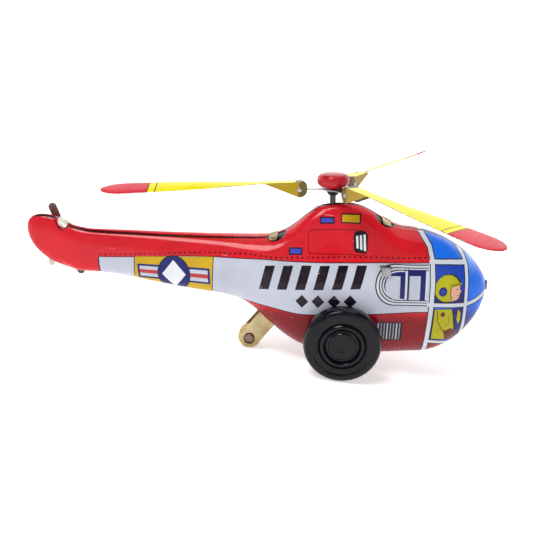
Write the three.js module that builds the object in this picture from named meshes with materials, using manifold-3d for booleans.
// A tin friction helicopter: two pressed half-shells round a flywheel motor,
// two big wheels, a rear roller in a bracket, a three-blade main rotor with
// hinged blades and a loose tail rotor.
//
// Millimetres, +Z up, nose towards +X, port side towards +Y.
// Pieces are laid out in the fuselage frame: x from the mast axis, z from the
// straight top line of the tail boom. The fuselage frame is then tipped nose-up
// by the stance angle, so that both wheels and the rear roller touch z = 0.
import * as THREE from "three";
import { mergeVertices } from "three/addons/utils/BufferGeometryUtils.js";
import Module from "manifold-3d";

const wasm = await Module();
wasm.setup();

// ---------------------------------------------------------------- dimensions
const GAP = 0.3; // clearance between neighbouring pieces
const SHEET = 0.6; // thickness of the fuselage tin

// Fuselage outline on the mid-plane: [x, z] between the rounded ends.
const ROOF = [
  [-158, 9.8], [-152, 8.8], [-147, 6.4], [-140, 3.2], [-131, 1.8], [-110, 1.2], [-75, 0.3],
  [-45, 0], [-34, 0.2], [-28, 1.8], [-22, 5], [-16, 9.9], [-10, 14.5], [-4, 17.4], [3, 18.3],
  [10, 18], [16, 16.5], [22, 13.3], [28, 9.8], [34, 7], [40, 5.6],
];
const BELLY = [
  [-135, -22.3], [-120, -23.4], [-100, -27], [-75, -31.3], [-58, -33.6], [-50, -35.6],
  [-43, -39.8], [-35, -47.5], [-25, -56], [-16, -61.6], [-6, -64.8], [10, -66], [30, -65.2],
  [48, -64],
];
const HALF_WIDTH = [
  [-158, 4.7], [-130, 6.4], [-100, 8], [-70, 10.6], [-45, 14.6], [-20, 19.4], [0, 21.6],
  [20, 22], [46, 21.8],
];
const TAIL_TIP = { x: -167.3, z: 1.6, roofPower: 2.5, bellyPower: 1.87, widthPower: 2 };
const NOSE_TIP = { x: 83.7, z: -26, roofPower: 1.65, bellyPower: 1.75, widthPower: 2 };
const SECTION_POWER = 2.4; // roundness of the cross-section, 2 is an ellipse
const COWL = { centre: 3, reach: 38, pinch: 0.5 }; // narrowing of the hump under the mast

// Running gear.
const AXLE = { x: 6, z: -51, radius: 1.5 };
const WHEEL = { radius: 20.5, inner: 23.5, outer: 33, facets: 36 };
const ROLLER = { x: -44.7, z: -59, radius: 6.3, halfWidth: 3.8, pinRadius: 2.6, facets: 24 };
const BRACKET = { inner: 4.2, thick: 0.8, width: 11, length: 32, lean: 50.3 };

// Gear train.
const MODULE_MM = 0.6;
const GEAR_TEETH = 30;
const PINION_TEETH = 10;
const CENTRES = (MODULE_MM * (GEAR_TEETH + PINION_TEETH)) / 2 + 0.2;
const TOOTH = { addendum: 0.4, dedendum: 0.75, tip: 0.35, root: 0.8 };
const IDLER = { x: 0, z: AXLE.z + Math.sqrt(CENTRES ** 2 - AXLE.x ** 2), radius: 1.1 };
const FLY = { x: -CENTRES, z: IDLER.z, radius: 0.9, wheelRadius: 10 };
const STAGE_ONE = { from: 5.6, to: 8.4 }; // y span of the drive gear and idler pinion
const STAGE_TWO = { from: -8, to: -5.6 }; // y span of the idler gear and flywheel pinion
const FLYWHEEL = { from: -14.6, to: -10.4 };
const PLATE = { right: [-9.8, -8.8], left: [9.4, 10.4], top: -24 };
const PILLARS = { front: [13, -31], rear: [-17, -28.5], lower: [-5, -53.5] };
const PILLAR_RADIUS = 1.2;
const EAR = { from: 25.4, to: 30.2, z: -11.5, fold: 4.6, wall: 20.9 };
const DRIVE_ROLLER = { radius: 4, track: 4, width: 1.6 };

// Main rotor.
const MAST_RADIUS = 1.6;
const MAST_TOP = 27.6;
const DISC = { radius: 5, thick: 1.2, z: IDLER.z + DRIVE_ROLLER.radius + GAP };
const COLLAR = { from: 22.6, to: 24.7, radius: 3.3 };
const HUB = { from: 25, to: 25.8, radius: 5.5, arm: 5 };
const PIVOT = { reach: 17.6, z: 25.4, pin: 0.7, head: 1.4 };
const CAP = { from: 26.1, top: 34.1, radius: 8.6 };
const BLADE = { sheet: 0.6, channel: 7, rise: 4.2, root: 4, taper: 18, tip: 107.4 };
const BLADE_HALF_WIDTH = [[-1.6, 3.5], [9, 3.5], [19.5, 3], [48, 4.2], [78, 5.7], [94, 6.2]];
// Each blade is bent its own way: degrees of droop and twist, and where the twist lies.
const BLADES = {
  a: { azimuth: 180, droop: 2.9, twist: -15, span: [12, 60] },
  b: { azimuth: 60, droop: 0, twist: -27, span: [9, 27] },
  c: { azimuth: -60, droop: 2.6, twist: 6, span: [12, 60] },
};

// Tail rotor, on the port side.
const TAIL_ROTOR = { x: -148.5, z: -6.2, length: 43.4, width: 4.6, thick: 0.8, lean: 20 };

const RED = 0xd8242f;
const YELLOW = 0xf2ea3c;
const STEEL = 0x8f8f93;
const DARK_STEEL = 0x4a464b;
const BRASS = 0xb9a06a;
const BLACK = 0x15161c;

// ------------------------------------------------------------------- helpers
const rad = THREE.MathUtils.degToRad;
const smooth = (value) => THREE.MathUtils.smoothstep(value, 0, 1);

// Smooth curve through [x, value] knots that never overshoots them.
function curveThrough(knots) {
  const slopes = knots.map((knot, i) => {
    if (i === 0 || i === knots.length - 1) return 0;
    const before = (knot[1] - knots[i - 1][1]) / (knot[0] - knots[i - 1][0]);
    const after = (knots[i + 1][1] - knot[1]) / (knots[i + 1][0] - knot[0]);
    return before * after <= 0 ? 0 : (2 * before * after) / (before + after);
  });
  return (x) => {
    let i = 0;
    while (i < knots.length - 2 && x > knots[i + 1][0]) i += 1;
    const [x0, v0] = knots[i];
    const [x1, v1] = knots[i + 1];
    const span = x1 - x0;
    const t = THREE.MathUtils.clamp((x - x0) / span, 0, 1);
    const a = 2 * t ** 3 - 3 * t ** 2 + 1;
    const b = t ** 3 - 2 * t ** 2 + t;
    const c = t ** 3 - t ** 2;
    return a * v0 + b * span * slopes[i] + (1 - a) * v1 + c * span * slopes[i + 1];
  };
}

// The same curve, closed at each end by a superellipse quarter down to the tip.
function closedCurve(knots, tail, nose) {
  const body = curveThrough(knots);
  const first = knots[0];
  const last = knots[knots.length - 1];
  const fall = (t, power) => Math.max(0, 1 - Math.min(1, t) ** power) ** (1 / power);
  return (x) => {
    if (x < first[0]) {
      const t = (first[0] - x) / (first[0] - tail.x);
      return tail.value + (first[1] - tail.value) * fall(t, tail.power);
    }
    if (x > last[0]) {
      const t = (x - last[0]) / (nose.x - last[0]);
      return nose.value + (last[1] - nose.value) * fall(t, nose.power);
    }
    return body(x);
  };
}

const tipOf = (tip, power, value) => ({ x: tip.x, power, value });
const roofAt = closedCurve(
  ROOF,
  tipOf(TAIL_TIP, TAIL_TIP.roofPower, TAIL_TIP.z),
  tipOf(NOSE_TIP, NOSE_TIP.roofPower, NOSE_TIP.z),
);
const bellyAt = closedCurve(
  BELLY,
  tipOf(TAIL_TIP, TAIL_TIP.bellyPower, TAIL_TIP.z),
  tipOf(NOSE_TIP, NOSE_TIP.bellyPower, NOSE_TIP.z),
);
const widthAt = closedCurve(
  HALF_WIDTH,
  tipOf(TAIL_TIP, TAIL_TIP.widthPower, 0),
  tipOf(NOSE_TIP, NOSE_TIP.widthPower, 0),
);

function makeMesh(name, geometry, color, metalness = 0.3, roughness = 0.45) {
  const material = new THREE.MeshStandardMaterial({ color, metalness, roughness });
  const mesh = new THREE.Mesh(geometry, material);
  mesh.name = name;
  return mesh;
}

function at(mesh, x, y, z) {
  mesh.position.set(x, y, z);
  return mesh;
}

// A manifold solid from a three.js geometry, moved by an optional matrix.
function toSolid(geometry, matrix) {
  const bare = new THREE.BufferGeometry();
  const source = geometry.index ? geometry.toNonIndexed() : geometry;
  bare.setAttribute("position", source.getAttribute("position").clone());
  if (matrix) bare.applyMatrix4(matrix);
  const merged = mergeVertices(bare, 1e-4);
  return new wasm.Manifold(
    new wasm.Mesh({
      numProp: 3,
      vertProperties: new Float32Array(merged.attributes.position.array),
      triVerts: new Uint32Array(merged.index.array),
    }),
  );
}

function toGeometry(solid) {
  const { vertProperties, triVerts } = solid.getMesh();
  const geometry = new THREE.BufferGeometry();
  geometry.setAttribute("position", new THREE.BufferAttribute(vertProperties, 3));
  geometry.setIndex(new THREE.BufferAttribute(triVerts, 1));
  const flat = geometry.toNonIndexed();
  flat.computeVertexNormals();
  return flat;
}

function placement(x, y, z, turnX = 0, turnY = 0, turnZ = 0) {
  const turn = new THREE.Quaternion().setFromEuler(new THREE.Euler(turnX, turnY, turnZ));
  const unit = new THREE.Vector3(1, 1, 1);
  return new THREE.Matrix4().compose(new THREE.Vector3(x, y, z), turn, unit);
}

const boxSolid = (dx, dy, dz, matrix) => toSolid(new THREE.BoxGeometry(dx, dy, dz), matrix);
const rodSolid = (radius, length, matrix, sides = 16) =>
  toSolid(new THREE.CylinderGeometry(radius, radius, length, sides), matrix);

// A flat plate in the x-z plane: shape coordinates are (x, z), spans y from..to.
function plateGeometry(shape, from, to, curveSegments = 8) {
  const geometry = new THREE.ExtrudeGeometry(shape, {
    depth: to - from,
    bevelEnabled: false,
    curveSegments,
  });
  geometry.rotateX(Math.PI / 2);
  geometry.translate(0, to, 0);
  return geometry;
}

function polygon(points) {
  return new THREE.Shape(points.map(([x, y]) => new THREE.Vector2(x, y)));
}

function hole(x, y, radius) {
  return new THREE.Path().absarc(x, y, radius, 0, 2 * Math.PI, true);
}

// A ring or disc turned about the y axis; the profile lists [radius, y] and
// either closes on itself or starts and ends on the axis.
function turned(profile, facets, firstAngle = 0) {
  const points = profile.map(([radius, y]) => new THREE.Vector2(radius, y));
  return new THREE.LatheGeometry(points, facets, firstAngle);
}

function ringProfile(bore, radius, from, to) {
  return [[bore, from], [radius, from], [radius, to], [bore, to], [bore, from]];
}

const UPRIGHT = Math.PI / 2; // turns a y-axis piece upright

// ------------------------------------------------------------ fuselage shells
const X_STEPS = { tail: 9, boom: 6, cabin: 15, nose: 8 };
const SECTION_STEPS = 13;

// Stations along the fuselage, closer together at the rounded ends.
function stations() {
  const list = [];
  const tailEnd = -131;
  const boomEnd = -46;
  const noseStart = 46;
  for (let i = 0; i < X_STEPS.tail; i += 1) {
    const turn = (Math.PI / 2) * (1 - i / X_STEPS.tail);
    list.push(tailEnd + (TAIL_TIP.x - tailEnd) * Math.sin(turn));
  }
  for (let i = 0; i < X_STEPS.boom; i += 1) {
    list.push(THREE.MathUtils.lerp(tailEnd, boomEnd, i / X_STEPS.boom));
  }
  for (let i = 0; i < X_STEPS.cabin; i += 1) {
    list.push(THREE.MathUtils.lerp(boomEnd, noseStart, i / X_STEPS.cabin));
  }
  for (let i = 0; i <= X_STEPS.nose; i += 1) {
    const turn = ((Math.PI / 2) * i) / X_STEPS.nose;
    list.push(noseStart + (NOSE_TIP.x - noseStart) * Math.sin(turn));
  }
  return list;
}

// A point of the shell: side is +1 port or -1 starboard, inset is 0 outside.
function shellPoint(x, angle, side, inset) {
  const middle = (TAIL_TIP.x + NOSE_TIP.x) / 2;
  const length = NOSE_TIP.x - TAIL_TIP.x;
  const drawn = middle + (x - middle) * (1 - (2 * inset) / length);
  const half = (roofAt(x) - bellyAt(x)) / 2;
  const width = widthAt(x);
  const height = half * (1 - inset / Math.max(half, 5));
  const u = Math.sin(angle);
  const round = Math.max(0, 1 - Math.abs(u) ** SECTION_POWER) ** (1 / SECTION_POWER);
  const hump = smooth(1 - Math.abs(x - COWL.centre) / COWL.reach);
  const narrowed = 1 - COWL.pinch * hump * smooth((u - 0.05) / 0.6);
  const y = width * (1 - inset / Math.max(width, 3)) * round * narrowed;
  const z = (roofAt(x) + bellyAt(x)) / 2 + height * u;
  return [drawn, side * Math.max(GAP / 2, y), z];
}

function halfShell(side) {
  const xs = stations();
  const surfaces = [0, SHEET].map((inset) =>
    xs.map((x) => {
      const row = [];
      for (let j = 0; j <= SECTION_STEPS; j += 1) {
        const angle = -Math.PI / 2 + (Math.PI * j) / SECTION_STEPS;
        row.push(shellPoint(x, angle, side, inset));
      }
      return row;
    }),
  );
  const [outer, inner] = surfaces;
  const corners = [];
  const quad = (a, b, c, d) => corners.push(a, b, c, a, c, d);
  const last = xs.length - 1;
  for (let i = 0; i < last; i += 1) {
    for (let j = 0; j < SECTION_STEPS; j += 1) {
      quad(outer[i][j], outer[i + 1][j], outer[i + 1][j + 1], outer[i][j + 1]);
      quad(inner[i][j], inner[i][j + 1], inner[i + 1][j + 1], inner[i + 1][j]);
    }
    quad(outer[i][0], inner[i][0], inner[i + 1][0], outer[i + 1][0]);
    const top = SECTION_STEPS;
    quad(outer[i][top], outer[i + 1][top], inner[i + 1][top], inner[i][top]);
  }
  const geometry = new THREE.BufferGeometry();
  geometry.setAttribute("position", new THREE.Float32BufferAttribute(corners.flat(), 3));
  const merged = mergeVertices(geometry, 1e-4);
  const index = merged.index.array;
  const kept = [];
  for (let i = 0; i < index.length; i += 3) {
    const [a, b, c] = [index[i], index[i + 1], index[i + 2]];
    if (a === b || b === c || c === a) continue;
    kept.push(...(side < 0 ? [a, b, c] : [a, c, b]));
  }
  merged.setIndex(kept);
  return toSolid(merged);
}

// The folded tabs that hold the halves together belong to the port half and lie
// over the seam on the starboard half, along the roof, the belly and the nose.
const TABS = [
  { x: -147.6, length: 7, reach: 4, above: true },
  { x: -29.5, length: 8, reach: 4.5, above: true },
  { x: -9, length: 4, reach: 2.4, above: true },
  { x: 26.5, length: 7.5, reach: 4.2, above: true },
  { x: 53.5, length: 5, reach: 3.2, above: false },
  { x: -155.5, length: 4, reach: 2.6, above: false },
  { x: NOSE_TIP.x, length: 5, reach: 2.2, above: true },
];

function seamTab({ x, length, reach, above }) {
  const outline = above ? roofAt : bellyAt;
  const sign = above ? 1 : -1;
  const atNose = x === NOSE_TIP.x;
  const slope = atNose ? -Math.PI / 2 : Math.atan2(outline(x + 2) - outline(x - 2), 4);
  const root = 1.6;
  // How far the outline bulges past the flap's own straight line.
  const bulges = [-0.5, -0.25, 0.25, 0.5].map((part) => {
    const run = part * length * Math.cos(slope);
    return sign * (outline(x + run) - outline(x) - run * Math.tan(slope));
  });
  const bulge = atNose ? 0 : Math.max(0, ...bulges);
  const lift = GAP + 0.1 + SHEET / 2 + bulge;
  const flapCentre = (root - reach) / 2;
  const flap = boxSolid(length, root + reach, SHEET, placement(0, flapCentre, sign * lift));
  const stem = boxSolid(length, 1, 3, placement(0, root - 0.5, sign * (lift - 1.2)));
  const spot = placement(x, 0, outline(x), 0, -slope, 0);
  return flap.add(stem).transform([...spot.elements]);
}

const shellCuts = () => {
  const lean = rad(BRACKET.lean);
  const spanY = 2 * (BRACKET.inner + BRACKET.thick + 0.5);
  const slotCentre = placement(
    ROLLER.x + 20 * Math.cos(lean), 0, ROLLER.z + 20 * Math.sin(lean), 0, -lean, 0,
  );
  return [
    rodSolid(AXLE.radius + 0.7, 60, placement(AXLE.x, 0, AXLE.z)),
    boxSolid(26, spanY, BRACKET.width + 1, slotCentre),
    boxSolid(13, 5.2, 8, placement(0, 0, roofAt(0))),
    rodSolid(1.2, 12, placement(TAIL_ROTOR.x, 6, TAIL_ROTOR.z), 12),
    boxSolid(EAR.to - EAR.from + 0.8, 60, 1.4, placement((EAR.from + EAR.to) / 2, 0, EAR.z)),
  ];
};

function fuselageHalf(side) {
  let shell = halfShell(side);
  for (const cut of shellCuts()) shell = shell.subtract(cut);
  if (side > 0) for (const tab of TABS) shell = shell.add(seamTab(tab));
  return toGeometry(shell);
}

// -------------------------------------------------------------- motor frame
function framePlate(name, [from, to], side) {
  const shape = polygon([
    [-24, PLATE.top], [-24, -46], [-4, -57], [16, -57], [16, -30], [24, -20], [EAR.to, -17],
    [EAR.to, EAR.z + 1], [16, EAR.z + 1], [8, PLATE.top],
  ]);
  shape.holes.push(hole(AXLE.x, AXLE.z, AXLE.radius + GAP));
  shape.holes.push(hole(IDLER.x, IDLER.z, IDLER.radius + GAP));
  shape.holes.push(hole(FLY.x, FLY.z, FLY.radius + GAP));
  const plate = toSolid(plateGeometry(shape, from, to));
  const middle = (EAR.from + EAR.to) / 2;
  const width = EAR.to - EAR.from;
  const start = side < 0 ? to : from;
  const armLength = EAR.wall + 0.7 - Math.abs(start);
  const arm = boxSolid(
    width, armLength, 0.7, placement(middle, start + (side * armLength) / 2, EAR.z),
  );
  const fold = boxSolid(
    width, 0.7, EAR.fold, placement(middle, side * (EAR.wall + 0.35), EAR.z + 0.35 - EAR.fold / 2),
  );
  return makeMesh(name, toGeometry(plate.add(arm).add(fold)), STEEL, 0.8, 0.4);
}

function framePillars() {
  const length = PLATE.left[0] - PLATE.right[1] - 2 * GAP;
  const middle = (PLATE.left[0] + PLATE.right[1]) / 2;
  return Object.entries(PILLARS).map(([place, [x, z]]) => {
    const geometry = new THREE.CylinderGeometry(PILLAR_RADIUS, PILLAR_RADIUS, length, 16);
    return at(makeMesh(`frame_pillar_${place}`, geometry, STEEL, 0.8, 0.4), x, middle, z);
  });
}

function mastGuide() {
  const width = PLATE.left[0] - PLATE.right[1] - 2 * GAP;
  const middle = (PLATE.left[0] + PLATE.right[1]) / 2;
  const strip = boxSolid(10, width, 1, placement(0, middle, -27));
  const boss = rodSolid(3.2, 4, placement(0, 0, -24.8, UPRIGHT));
  const bore = rodSolid(MAST_RADIUS + GAP, 10, placement(0, 0, -26, UPRIGHT));
  return makeMesh("mast_guide", toGeometry(strip.add(boss).subtract(bore)), STEEL, 0.8, 0.4);
}

function mastBush() {
  const shape = new THREE.Shape();
  shape.moveTo(-3.9, -2.2);
  shape.lineTo(3.9, -2.2);
  shape.absarc(3.9, 0, 2.2, -Math.PI / 2, Math.PI / 2, false);
  shape.lineTo(-3.9, 2.2);
  shape.absarc(-3.9, 0, 2.2, Math.PI / 2, (3 * Math.PI) / 2, false);
  shape.holes.push(hole(0, 0, MAST_RADIUS + GAP));
  const geometry = new THREE.ExtrudeGeometry(shape, {
    depth: 2.4,
    bevelEnabled: false,
    curveSegments: 8,
  });
  return at(makeMesh("mast_bush", geometry, DARK_STEEL, 0.6, 0.5), 0, 0, 14.2);
}

// --------------------------------------------------------------- gear pieces
function gearShape(teeth, firstTooth, bore) {
  const pitch = (MODULE_MM * teeth) / 2;
  const root = pitch - TOOTH.dedendum;
  const tip = pitch + TOOTH.addendum;
  const points = [];
  for (let i = 0; i < teeth; i += 1) {
    const centre = firstTooth + (2 * Math.PI * i) / teeth;
    const offsets = [
      [root, -TOOTH.root / 2 / root], [tip, -TOOTH.tip / 2 / tip],
      [tip, TOOTH.tip / 2 / tip], [root, TOOTH.root / 2 / root],
    ];
    for (const [radius, turn] of offsets) {
      points.push([radius * Math.cos(centre + turn), radius * Math.sin(centre + turn)]);
    }
  }
  const shape = polygon(points);
  shape.holes.push(hole(0, 0, bore));
  return shape;
}

function gear(name, teeth, firstTooth, bore, span, centre, color) {
  const geometry = plateGeometry(gearShape(teeth, firstTooth, bore), span.from, span.to, 6);
  return at(makeMesh(name, geometry, color, 0.8, 0.4), centre.x, 0, centre.z);
}

function arbor(name, radius, from, to, centre, sides = 20) {
  const geometry = new THREE.CylinderGeometry(radius, radius, to - from, sides);
  return at(makeMesh(name, geometry, STEEL, 0.9, 0.3), centre.x, (from + to) / 2, centre.z);
}

// Direction from one arbor to the next in the x-z plane.
const lineAngle = (from, to) => Math.atan2(to.z - from.z, to.x - from.x);

function gearTrain() {
  const toIdler = lineAngle(AXLE, IDLER);
  const toFly = lineAngle(IDLER, FLY);
  const halfPinion = Math.PI / PINION_TEETH;
  const boreOf = (part) => part.radius + 0.2;
  return [
    gear("drive_gear", GEAR_TEETH, toIdler, boreOf(AXLE), STAGE_ONE, AXLE, BRASS),
    gear(
      "idler_pinion", PINION_TEETH, toIdler + Math.PI + halfPinion, boreOf(IDLER),
      STAGE_ONE, IDLER, STEEL,
    ),
    gear("idler_gear", GEAR_TEETH, toFly, boreOf(IDLER), STAGE_TWO, IDLER, BRASS),
    gear(
      "flywheel_pinion", PINION_TEETH, toFly + Math.PI + halfPinion, boreOf(FLY),
      STAGE_TWO, FLY, STEEL,
    ),
    arbor("idler_arbor", IDLER.radius, PLATE.right[0] - 0.3, PLATE.left[1] + 0.6, IDLER),
    arbor("flywheel_arbor", FLY.radius, FLYWHEEL.from - 0.4, PLATE.left[1] + 0.6, FLY),
  ];
}

function flywheel() {
  const bore = FLY.radius + 0.2;
  const { from, to } = FLYWHEEL;
  const profile = [
    [bore, from + 0.6], [3, from + 0.6], [3, from + 1.2], [7, from + 1.2], [7, from],
    [FLY.wheelRadius, from], [FLY.wheelRadius, to], [7, to], [7, to - 1.2], [3, to - 1.2],
    [3, to], [bore, to], [bore, from + 0.6],
  ];
  return at(makeMesh("flywheel", turned(profile, 24), DARK_STEEL, 0.7, 0.5), FLY.x, 0, FLY.z);
}

function driveRoller() {
  const { radius, track, width } = DRIVE_ROLLER;
  const profile = ringProfile(IDLER.radius + 0.2, radius, track - width / 2, track + width / 2);
  const mesh = makeMesh("rotor_drive_roller", turned(profile, 24), BLACK, 0, 0.9);
  return at(mesh, IDLER.x, 0, IDLER.z);
}

// ------------------------------------------------------------- running gear
// A wheel of flat facets stands on a facet, a little nearer than its corners.
const restRadius = ({ radius, facets }) => radius * Math.cos(Math.PI / facets);

// How far the nose tips up when the wheels and the rear roller share one floor.
function stanceAngle() {
  const run = AXLE.x - ROLLER.x;
  const drop = AXLE.z - ROLLER.z;
  const apart = Math.hypot(run, drop);
  return Math.asin((restRadius(WHEEL) - restRadius(ROLLER)) / apart) - Math.atan2(drop, run);
}

const STANCE = stanceAngle();

// The first facet corner that leaves one facet lying flat on the ground.
const flatFacet = (facets) => STANCE + Math.PI / facets;

function wheelProfile() {
  const { radius, inner, outer } = WHEEL;
  const bore = AXLE.radius + 0.2;
  const floor = outer - 2.2;
  return [
    [bore, inner], [5, inner], [5, inner + 1.5], [16, inner + 1.5], [17.6, inner],
    [radius, inner + 2.2], [radius, outer - 2.6], [19.2, outer - 0.6], [17.2, outer],
    [12.2, outer - 0.5], [10.6, outer], [9.6, outer], [8.6, outer - 1.5],
    [7.4, outer - 0.7], [0, outer - 0.7], [0, floor], [bore, floor], [bore, inner],
  ];
}

function wheel(name, side) {
  const profile = wheelProfile().map(([radius, y]) => [radius, side * y]);
  if (side < 0) profile.reverse();
  // The profile runs through the hub, so it starts and ends on the axis.
  const start = profile.findIndex(([radius]) => radius === 0);
  const open = [...profile.slice(start + 1, -1), ...profile.slice(0, start + 1)];
  const geometry = turned(open, WHEEL.facets, flatFacet(WHEEL.facets));
  return at(makeMesh(name, geometry, BLACK, 0.1, 0.45), AXLE.x, 0, AXLE.z);
}

function driveAxle() {
  const reach = WHEEL.outer - 2.2 - 0.3;
  return arbor("drive_axle", AXLE.radius, -reach, reach, AXLE);
}

// One leg of the bracket, with its rounded end round the pin and local x along it.
function legShape() {
  const half = BRACKET.width / 2;
  const shape = new THREE.Shape();
  shape.moveTo(BRACKET.length, -half);
  shape.lineTo(BRACKET.length, half);
  shape.lineTo(0, half);
  shape.absarc(0, 0, half, Math.PI / 2, (3 * Math.PI) / 2, false);
  shape.holes.push(hole(0, 0, ROLLER.pinRadius + GAP));
  return shape;
}

function rearBracket() {
  const { inner, thick, length, width } = BRACKET;
  const right = toSolid(plateGeometry(legShape(), -inner - thick, -inner));
  const left = toSolid(plateGeometry(legShape(), inner, inner + thick));
  const web = boxSolid(thick, 2 * (inner + thick), width, placement(length - thick / 2, 0, 0));
  const mesh = makeMesh("rear_bracket", toGeometry(right.add(left).add(web)), BRASS, 0.8, 0.4);
  mesh.rotation.y = -rad(BRACKET.lean);
  return at(mesh, ROLLER.x, 0, ROLLER.z);
}

function rearRoller() {
  const { radius, halfWidth, pinRadius, facets } = ROLLER;
  const bore = pinRadius + 0.2;
  const edge = 0.6;
  const profile = [
    [bore, -halfWidth], [radius - edge, -halfWidth], [radius, edge - halfWidth],
    [radius, halfWidth - edge], [radius - edge, halfWidth], [bore, halfWidth],
    [bore, -halfWidth],
  ];
  const geometry = turned(profile, facets, flatFacet(facets));
  return at(makeMesh("rear_roller", geometry, BRASS, 0.7, 0.5), ROLLER.x, 0, ROLLER.z);
}

function rearRollerPin() {
  const end = BRACKET.inner + BRACKET.thick + 0.7;
  const { pinRadius: r } = ROLLER;
  const profile = [
    [0, -end], [r - 0.5, -end], [r, 0.5 - end], [r, end - 0.5], [r - 0.5, end], [0, end],
  ];
  const mesh = makeMesh("rear_roller_pin", turned(profile, 20), STEEL, 0.8, 0.4);
  return at(mesh, ROLLER.x, 0, ROLLER.z);
}

// ---------------------------------------------------------------- main rotor
function uprightTurned(name, profile, facets, color, metalness, roughness) {
  const mesh = makeMesh(name, turned(profile, facets), color, metalness, roughness);
  mesh.rotation.x = UPRIGHT;
  return mesh;
}

function mastPieces() {
  const { radius, thick, z } = DISC;
  const bore = MAST_RADIUS + 0.2;
  const disc = [
    [bore, z], [radius, z], [radius, z + thick], [3, z + thick], [3, z + 3.2], [bore, z + 3.2],
    [bore, z],
  ];
  const length = MAST_TOP - (z + 0.2);
  const mast = new THREE.CylinderGeometry(MAST_RADIUS, MAST_RADIUS, length, 20);
  const mastMesh = at(makeMesh("mast", mast, DARK_STEEL, 0.8, 0.4), 0, 0, z + 0.2 + length / 2);
  mastMesh.rotation.x = UPRIGHT;
  const collar = ringProfile(bore, COLLAR.radius, COLLAR.from, COLLAR.to);
  return [
    mastMesh,
    uprightTurned("mast_disc", disc, 24, STEEL, 0.8, 0.4),
    uprightTurned("rotor_collar", collar, 24, BLACK, 0.4, 0.5),
  ];
}

function rotorCap() {
  const bore = MAST_RADIUS + GAP;
  const { from, top, radius } = CAP;
  const profile = [
    [bore, from], [radius / 2, from], [radius - 2.2, from + 0.6], [radius - 0.6, from + 1.8],
    [radius, from + 3.1], [radius, top - 3.1], [radius - 0.5, top - 1.5], [radius - 2, top - 0.5],
    [radius - 5, top], [0, top], [0, MAST_TOP + GAP], [bore, MAST_TOP + GAP], [bore, from],
  ];
  const onAxis = profile.findIndex(([r]) => r === 0);
  const open = [...profile.slice(onAxis + 1, -1), ...profile.slice(0, onAxis + 1)];
  return uprightTurned("rotor_cap", open, 24, RED, 0.1, 0.35);
}

const azimuths = () => Object.values(BLADES).map(({ azimuth }) => rad(azimuth));

function rotorHub() {
  const thick = HUB.to - HUB.from;
  const z = (HUB.from + HUB.to) / 2;
  let solid = rodSolid(HUB.radius, thick, placement(0, 0, z, UPRIGHT), 24);
  const arm = PIVOT.reach - 0.5;
  for (const turn of azimuths()) {
    const middle = placement((arm / 2) * Math.cos(turn), (arm / 2) * Math.sin(turn), z, 0, 0, turn);
    solid = solid.add(boxSolid(arm, HUB.arm, thick, middle));
    const eye = placement(
      PIVOT.reach * Math.cos(turn), PIVOT.reach * Math.sin(turn), PIVOT.z, 0, 0, turn,
    );
    solid = solid.add(rodSolid(1.7, HUB.arm, eye, 16));
  }
  for (const turn of azimuths()) {
    const eye = placement(
      PIVOT.reach * Math.cos(turn), PIVOT.reach * Math.sin(turn), PIVOT.z, 0, 0, turn,
    );
    solid = solid.subtract(rodSolid(PIVOT.pin + 0.2, 12, eye, 16));
  }
  const bore = rodSolid(MAST_RADIUS + 0.2, 6, placement(0, 0, z, UPRIGHT));
  return makeMesh("rotor_hub", toGeometry(solid.subtract(bore)), STEEL, 0.8, 0.4);
}

function bladePin() {
  const half = BLADE.channel / 2 + 0.1;
  const { pin, head } = PIVOT;
  const profile = [
    [0, -half - 0.7], [head, -half - 0.7], [head, -half], [pin, -half], [pin, half],
    [head, half], [head, half + 0.7], [0, half + 0.7],
  ];
  return turned(profile, 14);
}

// The side flange of the root channel, in the blade's own x-z plane.
function flangeShape() {
  const { rise, root, taper } = BLADE;
  const shape = new THREE.Shape();
  const touch = rad(-78); // where the taper line leaves the round end
  shape.moveTo(taper, rise);
  shape.lineTo(0, rise);
  shape.absarc(0, 0, root, Math.PI / 2, 2 * Math.PI + touch, false);
  shape.lineTo(taper, rise - BLADE.sheet);
  shape.holes.push(hole(0, 0, PIVOT.pin + 0.25));
  return shape;
}

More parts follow.
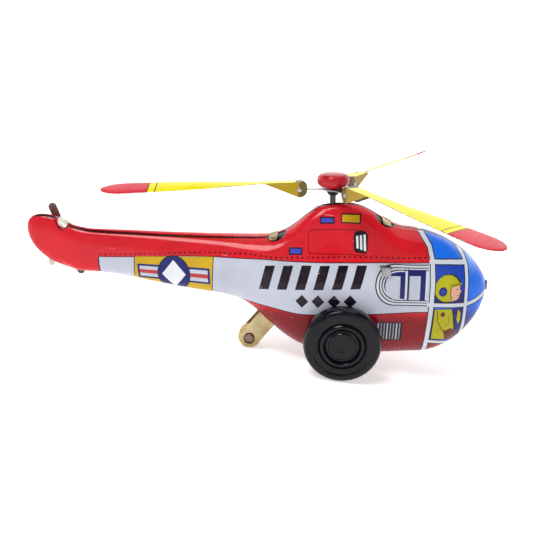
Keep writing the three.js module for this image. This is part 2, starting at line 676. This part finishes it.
// The blade's sheet as a loft of flat sections, twisted about its own length.
function bladeSheet({ twist, span }) {
  const widthOf = curveThrough(BLADE_HALF_WIDTH);
  const roundFrom = BLADE_HALF_WIDTH[BLADE_HALF_WIDTH.length - 1][0];
  const [twistFrom, twistTo] = span;
  const positions = [-1.6, 4, 9, 12, 16, 20, 26, 32, 38, 44, 50, 56, 62, 72, 84, roundFrom];
  const tipSteps = 6;
  for (let i = 1; i <= tipSteps; i += 1) {
    const turn = ((Math.PI / 2) * i) / (tipSteps + 0.3); // stops just short of a point
    positions.push(roundFrom + (BLADE.tip - roundFrom) * Math.sin(turn));
  }
  const rings = positions.map((x) => {
    const beyond = Math.max(0, (x - roundFrom) / (BLADE.tip - roundFrom));
    const half = widthOf(x) * Math.sqrt(1 - beyond ** 2);
    const turn = rad(twist) * smooth((x - twistFrom) / (twistTo - twistFrom));
    const corner = (y, z) => [
      x,
      y * Math.cos(turn) - z * Math.sin(turn),
      BLADE.rise - BLADE.sheet / 2 + y * Math.sin(turn) + z * Math.cos(turn),
    ];
    const t = BLADE.sheet / 2;
    return [corner(-half, -t), corner(half, -t), corner(half, t), corner(-half, t)];
  });
  const corners = [];
  const quad = (a, b, c, d) => corners.push(a, b, c, a, c, d);
  for (let i = 0; i < rings.length - 1; i += 1) {
    for (let j = 0; j < 4; j += 1) {
      const k = (j + 1) % 4;
      quad(rings[i][j], rings[i + 1][j], rings[i + 1][k], rings[i][k]);
    }
  }
  const [first, last] = [rings[0], rings[rings.length - 1]];
  quad(first[0], first[1], first[2], first[3]);
  quad(last[3], last[2], last[1], last[0]);
  const geometry = new THREE.BufferGeometry();
  geometry.setAttribute("position", new THREE.Float32BufferAttribute(corners.flat(), 3));
  const solid = toSolid(geometry);
  return solid.volume() > 0 ? solid : toSolid(flipped(geometry));
}

function flipped(geometry) {
  const from = geometry.getAttribute("position").array;
  const to = [];
  for (let i = 0; i < from.length; i += 9) {
    to.push(...from.slice(i, i + 3), ...from.slice(i + 6, i + 9), ...from.slice(i + 3, i + 6));
  }
  const turnedRound = new THREE.BufferGeometry();
  turnedRound.setAttribute("position", new THREE.Float32BufferAttribute(to, 3));
  return turnedRound;
}

function blade(letter) {
  const { azimuth, droop } = BLADES[letter];
  const half = BLADE.channel / 2;
  const right = toSolid(plateGeometry(flangeShape(), -half, BLADE.sheet - half));
  const left = toSolid(plateGeometry(flangeShape(), half - BLADE.sheet, half));
  const solid = bladeSheet(BLADES[letter]).add(right).add(left);
  const mesh = makeMesh(`rotor_blade_${letter}`, toGeometry(solid), YELLOW, 0.3, 0.4);
  mesh.rotation.y = rad(droop);
  const pin = makeMesh(`blade_pin_${letter}`, bladePin(), STEEL, 0.9, 0.3);
  const station = new THREE.Group();
  station.rotation.z = rad(azimuth);
  const turn = rad(azimuth);
  station.position.set(PIVOT.reach * Math.cos(turn), PIVOT.reach * Math.sin(turn), PIVOT.z);
  station.add(mesh, pin);
  return station;
}

// ---------------------------------------------------------------- tail rotor
function tailRotor() {
  const { x, z, length, width, thick, lean } = TAIL_ROTOR;
  const side = widthAt(x) + 2.2;
  const half = length / 2 - width / 2;
  const waist = 1.9;
  const shape = new THREE.Shape();
  shape.moveTo(-waist, -3);
  shape.lineTo(-width / 2, -half);
  shape.absarc(0, -half, width / 2, Math.PI, 2 * Math.PI, false);
  shape.lineTo(waist, -3);
  shape.lineTo(waist, 3);
  shape.lineTo(width / 2, half);
  shape.absarc(0, half, width / 2, 0, Math.PI, false);
  shape.lineTo(-waist, 3);
  shape.holes.push(hole(0, 0, 1));
  const blades = makeMesh("tail_rotor", plateGeometry(shape, 0, thick), DARK_STEEL, 0.6, 0.5);
  blades.rotation.y = -rad(lean);
  const washer = turned(ringProfile(1, 2, -1.8, -GAP), 16);
  const inside = widthAt(x) - SHEET - 0.6;
  const outside = side + thick + GAP;
  const rivet = turned(
    [
      [0, inside - 0.8], [1.4, inside - 0.8], [1.4, inside], [0.8, inside], [0.8, outside],
      [1.7, outside], [1.4, outside + 0.6], [0.8, outside + 0.9], [0, outside + 0.9],
    ],
    16,
  );
  return [
    at(blades, x, side, z),
    at(makeMesh("tail_rotor_washer", washer, STEEL, 0.8, 0.4), x, side, z),
    at(makeMesh("tail_rotor_rivet", rivet, STEEL, 0.8, 0.4), x, 0, z),
  ];
}

// ------------------------------------------------------------------ assembly
const fuselage = new THREE.Group();
fuselage.rotation.y = -STANCE;
fuselage.add(
  makeMesh("fuselage_half_right", fuselageHalf(-1), RED, 0.4, 0.35),
  makeMesh("fuselage_half_left", fuselageHalf(1), RED, 0.4, 0.35),
  framePlate("motor_frame_right", PLATE.right, -1),
  framePlate("motor_frame_left", PLATE.left, 1),
  ...framePillars(),
  mastGuide(),
  mastBush(),
  rearBracket(),
  rearRoller(),
  rearRollerPin(),
  driveAxle(),
  wheel("wheel_right", -1),
  wheel("wheel_left", 1),
  ...gearTrain(),
  flywheel(),
  driveRoller(),
  ...mastPieces(),
  rotorHub(),
  rotorCap(),
  blade("a"),
  blade("b"),
  blade("c"),
  ...tailRotor(),
);

// The origin is the bottom centre of the whole toy, kept on its mid-plane.
const helicopter = new THREE.Group();
helicopter.add(fuselage);
helicopter.updateMatrixWorld(true);
const extent = new THREE.Box3().setFromObject(helicopter, true);
const centre = extent.getCenter(new THREE.Vector3());
helicopter.position.set(-centre.x, 0, -extent.min.z);

export default helicopter;
